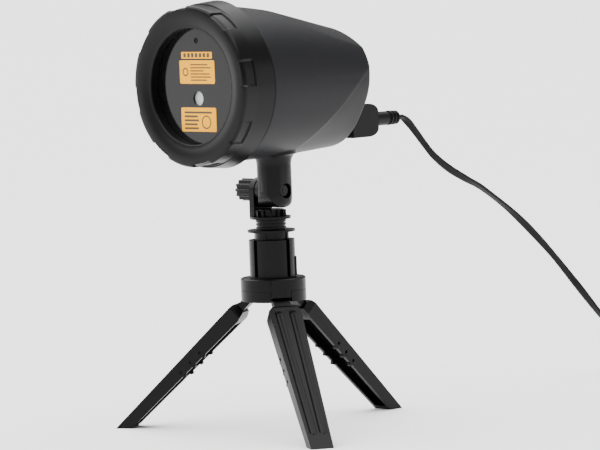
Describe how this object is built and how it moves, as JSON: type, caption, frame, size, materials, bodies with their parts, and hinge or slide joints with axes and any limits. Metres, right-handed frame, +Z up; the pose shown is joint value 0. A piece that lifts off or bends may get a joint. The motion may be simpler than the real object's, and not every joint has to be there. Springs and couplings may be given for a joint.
{
  "type": "light projector on a folding tripod",
  "caption": "Drum-shaped light projector with a recessed face plate on a tilting neck, swivel bracket and folding tripod, with a flat mains cord.",
  "frame": {"origin": "centre of the footprint of the stand and head on the floor, without the cord", "axes": "+Z up, the head faces -Y, +X is on the side of the nut recess; the lock knob is on -X"},
  "size_m": [0.2204, 0.5725, 0.2996],
  "materials": {
    "bezel_charcoal": "satin",
    "housing_charcoal": "matte",
    "plate_grey": "matte",
    "label_yellow": "printed film",
    "lens_clear": "clear",
    "stand_black": "satin",
    "cover_black": "matte",
    "rubber_black": "matte",
    "screw_steel": "zinc plated",
    "contact_brass": "plain",
    "sink_aluminium": "anodised",
    "board_green": "solder mask",
    "cap_blue": "sleeve",
    "lead_red": "insulation",
    "plug_black": "satin",
    "cord_black": "satin"
  },
  "bodies": {
    "stand": {"spigot": "stand_black", "column": "stand_black", "latch_tab": "stand_black", "hub_cap": "stand_black", "centre_screw": "screw_steel", "hub_base": "stand_black", "hub_screws": "screw_steel", "leg_pins": "screw_steel"},
    "bracket": {"ear_bracket": "stand_black", "friction_washer": "rubber_black", "swivel_screw": "screw_steel", "cord_run": "cord_black", "cord_coil": "cord_black", "cord_tie": "rubber_black", "cord_tail": "cord_black", "adapter_body": "plug_black", "adapter_pins": "contact_brass"},
    "head": {"bezel_ring": "bezel_charcoal", "bezel_gasket": "rubber_black", "face_plate": "plate_grey", "label_strip": "label_yellow", "label_upper": "label_yellow", "label_lower": "label_yellow", "aperture_window": "lens_clear", "window_retainer": "stand_black", "light_sensor": "stand_black", "front_collar": "housing_charcoal", "collar_screws": "screw_steel", "housing": "housing_charcoal", "back_cover": "cover_black", "cover_screws": "screw_steel", "power_inlet": "cover_black", "inlet_pins": "contact_brass", "heat_sink": "sink_aluminium", "laser_green": "contact_brass", "laser_red": "contact_brass", "driver_board": "board_green", "board_screws": "screw_steel", "transformer": "cover_black", "capacitor": "cap_blue", "inner_leads": "lead_red", "neck": "stand_black", "neck_screws": "screw_steel", "pivot_nut": "screw_steel", "connector_body": "plug_black", "connector_sleeves": "contact_brass", "strain_relief": "plug_black"},
    "knob": {"knob": "stand_black", "pivot_bolt": "screw_steel"},
    "leg_rear": {"leg_rear": "stand_black"},
    "leg_left": {"leg_left": "stand_black"},
    "leg_right": {"leg_right": "stand_black"}
  },
  "joints": [
    {"name": "bracket_swivel", "type": "hinge", "parent": "stand", "child": "bracket", "pos_m": [0, -0.02178, 0.142], "axis": [0, 0, 1], "range_deg": [-180, 180]},
    {"name": "head_tilt", "type": "hinge", "parent": "bracket", "child": "head", "pos_m": [0, -0.02178, 0.166], "axis": [1, 0, 0], "range_deg": [-30, 45], "deforming": ["cord_run"]},
    {"name": "knob_turn", "type": "hinge", "parent": "bracket", "child": "knob", "pos_m": [-0.02, -0.02178, 0.166], "axis": [1, 0, 0], "range_deg": [-360, 0]},
    {"name": "leg_rear_fold", "type": "hinge", "parent": "stand", "child": "leg_rear", "pos_m": [0, -0.00678, 0.093], "axis": [-1, 0, 0], "range_deg": [0, 46]},
    {"name": "leg_left_fold", "type": "hinge", "parent": "stand", "child": "leg_left", "pos_m": [-0.01299, -0.02928, 0.093], "axis": [0.5, -0.866, 0], "range_deg": [0, 46]},
    {"name": "leg_right_fold", "type": "hinge", "parent": "stand", "child": "leg_right", "pos_m": [0.01299, -0.02928, 0.093], "axis": [0.5, 0.866, 0], "range_deg": [0, 46]}
  ]
}
